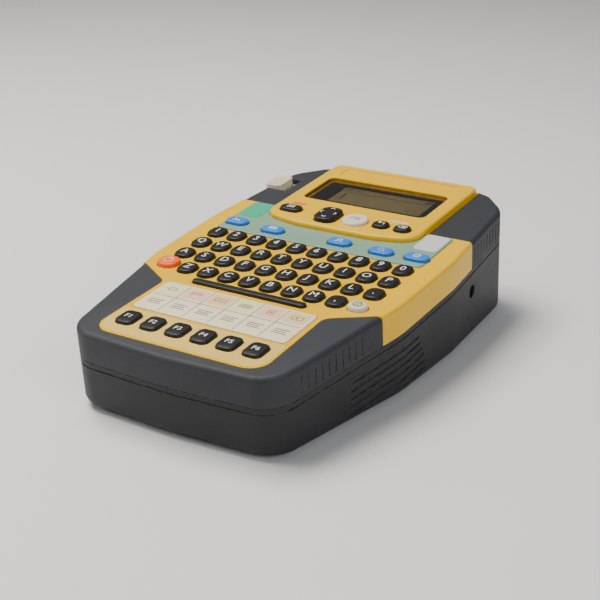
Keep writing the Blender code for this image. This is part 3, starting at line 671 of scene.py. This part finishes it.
window = {"wide": 67.0, "tall": 28.6, "y": 73.4}
recesses = {"band": (-56.5, 11.2, 56.5, 48.0, 3), "panel": (-39.7, -77.8, 39.7, -49.9, 2),
            "plate": (-33, 92.5, 33, 103.5, 3), "floor": -0.9, "plateDepth": 0.35}
outline, faceOutline, headOutline = (bothSides(case[k]) for k in ("outline", "faceOutline", "headOutline"))
wall, parting = case["wall"], case["parting"]


def windowCorners(grow):
    w, h = window["wide"] / 2 + grow, window["tall"] / 2 + grow
    return boxCorners(-w, window["y"] - h, w, window["y"] + h, 2.5 + grow)


shell = slab(outline, parting, 0, 0, 10, (1.6, 5))
shell = carved(shell, slab(faceOutline, parting - 2, 2, 0, 6), "INTERSECT")
shell = carved(shell, slab(headOutline, -1.2, rise, -0.5, 10, (1.4, 5)), "UNION")
hollow = carved(slab(outline, parting - 3, -wall, -wall, 10),
                slab(faceOutline, parting - 4, 0, -wall, 6), "INTERSECT")
shell = carved(shell, hollow)
shell = carved(shell, slab(headOutline, -4, rise - wall, -wall - 0.8, 10))
pocket = carved(slab(boxCorners(*recesses["band"]), -1.2, 0.9, 0, 6), slab(headOutline, -3, 3, -0.2, 10))
shell = carved(shell, pocket)
shell = carved(shell, slab(boxCorners(*recesses["panel"]), recesses["floor"], 2, 0, 5))
shell = carved(shell, openingTool(openings))
shell = carved(shell, slab(windowCorners(1.2), rise - 1.8, rise + 2, 0, 6))
shell = carved(shell, slab(windowCorners(-0.8), -2, rise, 0, 6))
shell = carved(shell, slab(boxCorners(*recesses["plate"]), rise - recesses["plateDepth"], rise + 1, 0, 6))
place(shell, "faceShell", "case", yellowShell, standsFor=["front_housing"])
print("face shell made")

band = slab(boxCorners(-56.2, 11.5, 56.2, 47.6, 3), recesses["floor"], 0.5, 0, 6, (0.4, 3))
band = carved(band, slab(headOutline, -3, 3, 0.1, 10))
blueOpenings = [entry for entry in openings if entry[1] == 0.0 and 12 < entry[0][0][1] < 30]
band = carved(band, openingTool(blueOpenings, 0.3))
place(band, "functionBand", "case", silverBand, standsFor=["function_strip"])

inlays = {"lift": 0.12, "teal": (-55.2, 29.0, -43.2, 46.8), "pale": (43.2, 29.0, 55.2, 46.8)}
for label, finish in (("teal", tealInk), ("pale", greyInk)):
    x0, y0, x1, y1 = inlays[label]
    inlay = slab(boxCorners(x0, y0, x1, y1, 2.0), 0.3, 0.5 + inlays["lift"], 0, 5)
    place(inlay, f"{label}Inlay", "case", finish)

# painted highlight: a paler yellow sheet, 0.1 mm proud of the face, round the hot keys
hotKeyHighlightOutline = [(-41.2, -79.2, 0), (41.2, -79.2, 0), (41.6, -100.3, 8), (-41.6, -100.3, 8)]
hotOpenings = [entry for entry in openings if entry[0][0][1] < -80]
hotKeyHighlight = carved(slab(hotKeyHighlightOutline, -0.3, 0.1, 0, 8), openingTool(hotOpenings, 0.0))
place(hotKeyHighlight, "hotKeyPaintedHighlight", "case", highlitYellow)

panel = slab(boxCorners(-39.4, -77.5, 39.4, -50.2, 2), -0.6, 0.4, 0, 6, (0.3, 3))
place(panel, "legendPanel", "case", creamPanel, standsFor=["legend_panel"])

panelArt = {
    "icons": ["wrap", "flag", "blocks", "ports", "module", "tag"],
    "level": 0.4, "iconY": -56.4, "linesY": -69.4,
    "tints": [limeInk, pinkInk, tanInk, limeInk, pinkInk, tanInk], "tintSize": (10.6, 9.2, 1.4),
    "lines": [[(-3.4, 1.6), (3.4, 1.6)], [(-3.4, 0), (2.2, 0)], [(-3.4, -1.6), (3.0, -1.6)]],
    "ruleWidth": 0.3, "iconWidth": 0.34, "lineWidth": 0.5,
}
level = panelArt["level"]
drawings, rules = [], []
for column, (x, icon) in enumerate(zip(hotKeys["places"], panelArt["icons"])):
    patch = slab(centred(x, panelArt["iconY"], *panelArt["tintSize"]), level - 0.2, level + 0.04, 0, 4)
    place(patch, f"panelTint{column + 1}", "case", panelArt["tints"][column])
    drawings.append(strokes(icons[icon], panelArt["iconWidth"], (x, panelArt["iconY"]), level + 0.02, 1.6))
    drawings.append(strokes(panelArt["lines"], panelArt["lineWidth"], (x, panelArt["linesY"]), level))
    if column:
        rules.append(strokes([[(0, -12.6), (0, 12.6)]], panelArt["ruleWidth"], (x - 6.5, -63.85), level))
rules.append(strokes([[(-38, 0), (38, 0)]], panelArt["ruleWidth"], (0, -63.2), level))
place(merged(*drawings), "panelDrawings", "case", darkInk, sharp=60)
place(merged(*rules), "panelRules", "case", darkInk, sharp=60)

lens = slab(windowCorners(0.9), rise - 1.5, rise - 0.4, 0, 7, (0.25, 3))
place(lens, "windowPane", "case", clearWindow, standsFor=["display_lens"])
# the printed border round the display; its wider dark strip at the left is a painted reflection on the glass
maskAndReflection = carved(slab(windowCorners(-0.95), rise - 2.2, rise - 1.7, 0, 6),
              slab(boxCorners(-24, 63.0, 29.5, 84.8, 1.2), -3, 5, 0, 5))
place(maskAndReflection, "windowMaskAndReflection", "case", maskAndReflectionInk)
module = slab(boxCorners(-37.5, 57, 37.5, 90, 1), -4.4, rise - wall - gap, 0, 3, (0.3, 2))
place(module, "displayModule", "case", displayField, standsFor=["display_module"])
displayMarks = [  # the lines of each mark, their width and their middle
    ([frameOf(-1.8, -0.8, 1.8, 0.8), [(2.2, -0.3), (2.2, 0.3)], [(-1.2, 0), (0.4, 0)]], 0.35, (26.0, 82.4)),
    ([[(0, -3.2), (0, 3.2)]], 0.9, (-19.0, 73.0)),
    ([[(-22, 0), (27, 0)]], 0.25, (0.6, 79.8)),
    ([frameOf(-1.2, -0.9, 1.2, 0.9)], 0.3, (-20.0, 82.4)),
    ([[(-1.2, -0.8), (0, 0.8), (1.2, -0.8)]], 0.3, (-14.5, 82.4)),
]
segments = [strokes(paths, width, middle, rise - wall - gap) for paths, width, middle in displayMarks]
place(merged(*segments), "displaySegments", "case", maskAndReflectionInk, sharp=60)
faceMarks = {"Red": (redInk, -30.5, 49.3, 8.0), "Pink": (pinkInk, 26.2, 48.9, 11.0)}
for label, (finish, x, y, wide) in faceMarks.items():
    stripe = slab(centred(x, y, wide, 2.0, 0.9), rise - 0.2, rise + 0.05, 0, 4)
    place(stripe, f"printed{label}Mark", "case", finish)
print("face trim made")

cutterY = 76.0
cover = {"rounding": 2.4, "ribPitch": 4.2, "ribWidth": 1.1, "ribDepth": 0.55, "ribLevels": (-12.2, -4.0),
         "innerEdge": 42.7, "frontEdge": 48.7, "buttonReach": 8}


def ribCuts(side, yLow, yHigh):
    # upright grooves that follow the side of the case
    cuts = []
    y = yLow
    while y <= yHigh:
        groove = centred(side * (sideX(y) + 1.5 - cover["ribDepth"]), y, 3.0, cover["ribWidth"], 0.4)
        cuts.append(slab(groove, *cover["ribLevels"], 0, 3, (0.3, 2)))
        y += cover["ribPitch"]
    return merged(*cuts)


def sideX(y):
    # half width of the case at y, from its straight runs
    points = [(x, v) for x, v, r in case["outline"] if x > 40]
    for (x0, y0), (x1, y1) in zip(points, points[1:]):
        if y1 <= y <= y0:
            return x0 + (x1 - x0) * (y - y0) / (y1 - y0)
    return points[-1][0]


for side, label in ((-1, "left"), (1, "right")):
    shape = slab(outline, parting, -0.2, 0, 10, (cover["rounding"], 6))
    sliced(shape, (side * cover["innerEdge"], 0, 0), (side, 0, 0))
    sliced(shape, (0, cover["frontEdge"], 0), (0, 1, 0))
    inner = slab(outline, parting - 1, -wall - 0.2, -wall, 10)
    sliced(inner, (side * 38, 0, 0), (side, 0, 0))
    sliced(inner, (0, cover["frontEdge"] + wall, 0), (0, 1, 0))
    shape = carved(shape, inner)
    if side < 0:  # the slot of the cutter button
        y0, y1 = cutterY - cover["buttonReach"], cutterY + cover["buttonReach"]
        shape = carved(shape, slab(boxCorners(-75, y0, -50.9, y1), -9.5, 3))
    shape = carved(shape, ribCuts(side, 52.5, 64.0 if side < 0 else 88.0))
    place(shape, f"{label}ShoulderCover", "case", softCover, standsFor=[f"shoulder_cover_{label}"])

shape = slab(outline, parting, -0.2, 0, 10, (cover["rounding"], 6))
sliced(shape, (0, -38.2, 0), (0, 1, 0), False)
shape = carved(shape, slab(faceOutline, parting - 2, 2, gap, 6))
shape = carved(shape, slab(outline, parting - 1, -wall - 0.2, -wall, 10))
for side in (-1, 1):
    shape = carved(shape, ribCuts(side, -90.0, -48.0))
place(shape, "gripCover", "case", softCover, standsFor=["grip_cover"])
print("covers made")

foot = case["foot"]
groundPoint = up * (foot - leaning["deckHeight"])
shape = slab(outline, -70, parting - gap, 0, 10)
bottom = sliced(shape, groundPoint, up)
bottomEdges = list({e for f in bottom for e in f.edges})
bmesh.ops.bevel(shape, geom=bottomEdges, offset=4.5, segments=7, profile=0.5, material=-1,
                affect="EDGES")
inner = slab(outline, -72, parting + 2, -wall, 10)
sliced(inner, up * (foot + wall - leaning["deckHeight"]), up)
shape = carved(shape, inner)
faceToGround = groundToWorld.inverted() @ faceToWorld
bmesh.ops.transform(shape, matrix=faceToGround, verts=shape.verts)

doors = {
    "cassette_door": {"half": 35.0, "hinge": 23.0, "end": 92.0, "toward": 1},
    "battery_door": {"half": 38.0, "hinge": -44.0, "end": -97.0, "toward": -1},
}
knuckle, pinHole, hingeZ = 1.4, 0.85, foot + 1.4
for name, door in doors.items():
    half, hinge, end, toward = door["half"], door["hinge"], door["end"], door["toward"]
    y0, y1 = sorted((hinge - toward * 2.6, end + toward * gap))
    shape = carved(shape, slab(boxCorners(-half - gap, y0, half + gap, y1), -2, foot + wall + 1))
    shape = carved(shape, rod(pinHole, -half - 4, half + 4, (hinge, hingeZ), 20, axis="X"))
feet = [(-50, 72, 4.5), (50, 72, 4.5), (-45.5, -88, 4.0), (45.5, -88, 4.0)]
shape = carved(shape, merged(*[rod(r + gap, -1, foot + 0.8 + gap, (x, y), 32) for x, y, r in feet]))
shape = carved(shape, slab(boxCorners(-7.3, 91.5, 7.3, 103.3), -1, foot + wall + 1))
bmesh.ops.transform(shape, matrix=faceToGround.inverted(), verts=shape.verts)
shape = carved(shape, slab(boxCorners(-28.5, 100, -23.0, 113), -45.5, -21.0))
shape = carved(shape, rod(3.4, 52, 70, (49, -26), 32, axis="X"))
trim = {"seam": -17.2, "seamDepth": 0.5, "seamHeight": 0.9,
        "gripRows": 6, "gripPitch": 3.6, "gripLow": -41.0, "gripHeight": 1.5, "gripDepth": 0.6,
        "gripMiddle": -34, "gripReach": 31.0, "gripTaper": 1.25}
shape = carved(shape, carved(slab(outline, trim["seam"], trim["seam"] + trim["seamHeight"], 4, 10),
                             slab(outline, trim["seam"] - 1, trim["seam"] + 2, -trim["seamDepth"], 10)))
exitFrame = slab(boxCorners(-31.5, 107.6, -20.0, 113), -47.5, -19.0)
exitFrame = carved(exitFrame, slab(boxCorners(-29.7, 104, -21.8, 115), -46.6, -20.0))
shape = carved(shape, exitFrame)
for row in range(trim["gripRows"]):
    low = trim["gripLow"] + row * trim["gripPitch"]
    ring = carved(slab(outline, low, low + trim["gripHeight"], 3, 10),
                  slab(outline, low - 1, low + 3, -trim["gripDepth"], 10))
    reach = trim["gripReach"] - row * trim["gripTaper"]
    stretch = boxCorners(-90, trim["gripMiddle"] - reach, 90, trim["gripMiddle"] + reach)
    shape = carved(shape, carved(ring, slab(stretch, low - 1, low + 3), "INTERSECT"))
place(shape, "rearShell", "case", charcoalShell, standsFor=["rear_housing"])
print("rear shell made")

for name, door in doors.items():
    half, hinge, end, toward = door["half"], door["hinge"], door["end"], door["toward"]
    near = hinge + toward * 1.9
    y0, y1 = sorted((near, end))
    leaf = slab(boxCorners(-half, y0, half, y1, 1.5), foot, foot + 2.2, 0, 5)
    soften(leaf, foot, 0.35, 2)
    for x0, x1 in ((-half + 3, -half + 15), (half - 15, half - 3)):
        arm = sorted((hinge, near + toward * 1.2))
        leaf = carved(leaf, rod(knuckle, x0, x1, (hinge, hingeZ), 28, axis="X"), "UNION")
        leaf = carved(leaf, slab(boxCorners(x0, arm[0], x1, arm[1]), hingeZ - 0.8, foot + 2.2), "UNION")
    leaf = carved(leaf, rod(pinHole, -half - 4, half + 4, (hinge, hingeZ), 20, axis="X"))
    grips = [slab(centred(0, end - toward * (7 + 2.2 * k), 26 - 3 * k, 0.9, 0.4), foot - 1, foot + 0.45, 0, 3)
             for k in range(5)]
    leaf = carved(leaf, merged(*grips))
    dish = centred(0, (near + end) / 2 - toward * 6, half * 1.5, abs(end - near) * 0.42, 3)
    leaf = carved(leaf, slab(dish, foot - 1, foot + 0.3, 0, 4))
    place(leaf, name.replace("_d", "D") + "Leaf", name, charcoalShell, groundToWorld, standsFor=[name])
print("doors made")

keptFinishes = {
    "main_board": board, "keypad_mat": keyRubber, "power_socket": keyRubber, "printer_chassis": worksPlastic,
    "print_head": steel, "feed_motor": steel, "tape_cassette": worksPlastic, "cassette_door_pin": steel,
    "battery_door_pin": steel, "cutter_spring": steel, "cutter_blade": steel,
    "platen_roller": softCover, "platen_gear": gearPlastic, "idler_gear": gearPlastic,
    "motor_pinion": gearPlastic, "tape_roll": tapeWhite, "ribbon_supply": keyRubber,
    "ribbon_takeup": keyRubber, "door_latch": softCover, "cutter_button": creamKey,
    "foot_1": softCover, "foot_2": softCover, "foot_3": softCover, "foot_4": softCover,
}
roundedNodes = {"cutter_button": 0.7, "door_latch": 0.3, "tape_cassette": 0.4, "printer_chassis": 0.3,
                "foot_1": 0.4, "foot_2": 0.4, "foot_3": 0.4, "foot_4": 0.4, "power_socket": 0.2}
for name, finish in keptFinishes.items():
    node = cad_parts[name]
    node.data.materials.clear()
    node.data.materials.append(finish["material"])
    if name in roundedNodes:
        weld = node.modifiers.new("weld", "WELD")
        weld.merge_threshold = 1e-6
        rounding = node.modifiers.new("edge", "BEVEL")
        rounding.width = roundedNodes[name] * mm
        rounding.segments = 3
        rounding.limit_method = "ANGLE"
        rounding.angle_limit = math.radians(40)
print("packed parts finished")


def facingDown(bm, middle, level):
    # turns a print over, so that it reads from below
    bmesh.ops.rotate(bm, verts=bm.verts, cent=(middle[0], middle[1], level),
                     matrix=Matrix.Rotation(math.pi, 3, "X"))
    return bm


power = {"low": 4.6, "high": 21.5, "label": (0, -70.5, 56, 30), "contacts": [-24, -8, 8, 24],
         "ribs": 9, "ribX": 36.9, "ribY": -88, "ribPitch": 4.4}
cells = slab(boxCorners(-36.5, -93, 36.5, -48, 2.5), power["low"], power["high"], 0, 5, (0.8, 3))
soften(cells, power["low"], 0.8, 3)
cells = carved(cells, slab(centred(*power["label"], 2), power["low"] - 1, power["low"] + 0.3, 0, 4))
sideRibs = []
for k in range(power["ribs"]):
    for side in (-1, 1):
        rib = centred(side * power["ribX"], power["ribY"] + power["ribPitch"] * k, 1.6, 1.4, 0.3)
        sideRibs.append(slab(rib, power["low"] + 2.5, power["high"] - 3, 0, 2))
cells = carved(cells, merged(*sideRibs))
place(cells, "batteryCells", "case", worksPlastic, groundToWorld, standsFor=["battery_pack"])
pads = [slab(boxCorners(x - 2.2, -92.95, x + 2.2, -92.4, 0.3), 8, 15, 0, 2) for x in power["contacts"]]
place(merged(*pads), "batteryContacts", "case", steel, groundToWorld)
x, y, wide, tall = power["label"]
sticker = slab(centred(x, y, wide - 1, tall - 1, 1.6), power["low"] + 0.1, power["low"] + 0.35, 0, 4)
place(sticker, "batteryLabel", "case", creamPanel, groundToWorld)
signs = [[(-20, 0), (-14, 0)], [(-17, -3), (-17, 3)], [(14, 0), (20, 0)],
         frameOf(-10, -5, 10, 5), frameOf(10, -2, 11.2, 2)]
polarity = strokes(signs, 0.8, (x, y), power["low"] + 0.1)
place(facingDown(polarity, (x, y), power["low"] + 0.1), "batteryPolarity", "case", darkInk,
      groundToWorld, sharp=60)

tapeLabel = {"middle": (8.5, 55.0), "size": (40, 30), "level": -43.4}
x, y = tapeLabel["middle"]
under = tapeLabel["level"] - 0.12
sticker = slab(centred(x, y, *tapeLabel["size"], 2), under, tapeLabel["level"] + 0.2, 0, 4)
place(sticker, "tapeLabel", "case", tapeWhite)
tapeDrawing = [frameOf(-16, -11, 16, -3), [(-16, -7), (-12, -7)], [(12, -7), (16, -7)]]
printed = merged(glyphs("12 mm", 8.0, (x, y + 5), under), strokes(tapeDrawing, 0.6, (x, y), under))
place(facingDown(printed, (x, y), under), "tapeLabelPrint", "case", darkInk, sharp=60)

thumb = {"x": (-63.2, -56.2), "y": 71.0, "pitch": 2.5, "ribs": 5, "half": 0.45, "low": 1.3, "high": 1.95}
ridges = []
for y in [thumb["y"] + k * thumb["pitch"] for k in range(thumb["ribs"])]:
    ridge = boxCorners(thumb["x"][0], y - thumb["half"], thumb["x"][1], y + thumb["half"], 0.4)
    ridges.append(slab(ridge, thumb["low"], thumb["high"], 0, 3, (0.25, 2)))
place(merged(*ridges), "cutterThumbRidges", "cutter", creamKey)
print("small fittings made")

studio = {"azimuth": 31.5, "elevation": 22.0, "distance": 0.60, "lens": 76.0, "aim": (0.0, -0.003, 0.026),
          "sky": (0.92, 0.95, 1.0, 1), "skyStrength": 0.22}


def floorLook(spot, shader):
    cloud = noise(spot, 3, 3).clamped(0.3, 0.7)
    feed(shader, "Base Color", spot.mixed(cloud, (0.80, 0.79, 0.77, 1), (0.77, 0.76, 0.74, 1)))
    feed(shader, "Roughness", cloud * 0.05 + 0.6)


floorFinish = newFinish("paleFloor", "charcoal_shell", floorLook)
bm = bmesh.new()
bmesh.ops.create_grid(bm, x_segments=1, y_segments=1, size=4)
data = bpy.data.meshes.new("floor")
bm.to_mesh(data)
bm.free()
data.materials.append(floorFinish["material"])
floor = bpy.data.objects.new("floor", data)
bpy.context.scene.collection.objects.link(floor)

world = bpy.data.worlds.new("studio")
world.use_nodes = True
sky = world.node_tree.nodes["Background"]
sky.inputs["Color"].default_value = studio["sky"]
sky.inputs["Strength"].default_value = studio["skyStrength"]
bpy.context.scene.world = world


def softLight(name, spot, aim, size, power, colour=(1, 1, 1)):
    light = bpy.data.lights.new(name, "AREA")
    light.shape = "RECTANGLE"
    light.size, light.size_y = size
    light.energy = power
    light.color = colour
    lamp = bpy.data.objects.new(name, light)
    bpy.context.scene.collection.objects.link(lamp)
    lamp.location = spot
    lamp.rotation_mode = "QUATERNION"
    lamp.rotation_quaternion = (Vector(aim) - Vector(spot)).to_track_quat("-Z", "Y")


softLight("overhead", (-0.45, -0.05, 1.15), (0, 0, 0), (0.8, 0.6), 22.0, (1.0, 0.98, 0.95))
softLight("rightFill", (1.0, -0.5, 0.6), (0, 0, 0.02), (0.6, 0.6), 5.5, (0.93, 0.96, 1.0))
softLight("leftFill", (-1.0, -0.6, 0.5), (0, 0, 0.02), (0.6, 0.6), 3.5)

camera = bpy.data.cameras.new("camera")
camera.lens = studio["lens"]
camera.sensor_width = 36.0
camera.clip_start = 0.01
eye = bpy.data.objects.new("camera", camera)
bpy.context.scene.collection.objects.link(eye)
azimuth, elevation = math.radians(studio["azimuth"]), math.radians(studio["elevation"])
back = Vector((math.sin(azimuth) * math.cos(elevation), -math.cos(azimuth) * math.cos(elevation),
               math.sin(elevation)))
eye.location = Vector(studio["aim"]) + back * studio["distance"]
eye.rotation_mode = "QUATERNION"
eye.rotation_quaternion = (-back).to_track_quat("-Z", "Y")
bpy.context.scene.camera = eye

print("scene ready")
